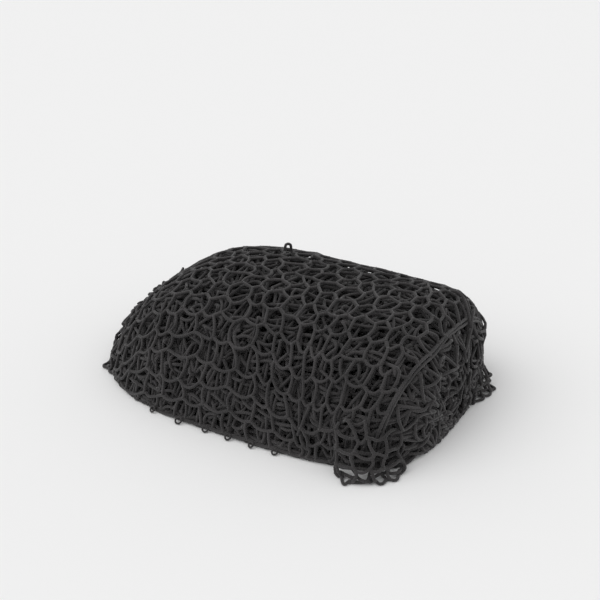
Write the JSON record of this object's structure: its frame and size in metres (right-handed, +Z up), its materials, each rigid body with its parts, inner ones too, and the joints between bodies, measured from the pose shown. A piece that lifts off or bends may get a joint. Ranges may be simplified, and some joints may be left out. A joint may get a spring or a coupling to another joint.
{
  "type": "tennis net",
  "caption": "Folded tennis net: a loaf-shaped bundle of dark knotted square-mesh netting with a draped cover ply, an end border cord and loose cells at its corners.",
  "frame": {"origin": "on the ground, at the middle of the bottom of the box around the whole bundle", "axes": "+X along the long side of the bundle towards its higher end, where the border cord is, +Y along its short side, +Z up"},
  "size_m": [0.6168, 0.4344, 0.194],
  "materials": {
    "netting": "matte braided twine",
    "border_cord": "matte braided cord"
  },
  "bodies": {
    "root": {"fold_panel_01": "netting", "fold_panel_02": "netting", "fold_panel_03": "netting", "fold_panel_04": "netting", "fold_panel_05": "netting", "fold_panel_06": "netting", "fold_panel_07": "netting", "fold_panel_08": "netting", "fold_panel_09": "netting", "fold_panel_10": "netting", "fold_panel_11": "netting", "fold_panel_12": "netting", "fold_panel_13": "netting", "fold_panel_14": "netting", "fold_panel_15": "netting", "fold_panel_16": "netting", "fold_panel_17": "netting", "fold_panel_18": "netting", "draped_cover": "netting", "slack_cells_front_corner": "netting", "slack_cells_back_corner": "netting", "slack_cells_far_end": "netting", "end_border_cord": "border_cord"}
  },
  "joints": []
}
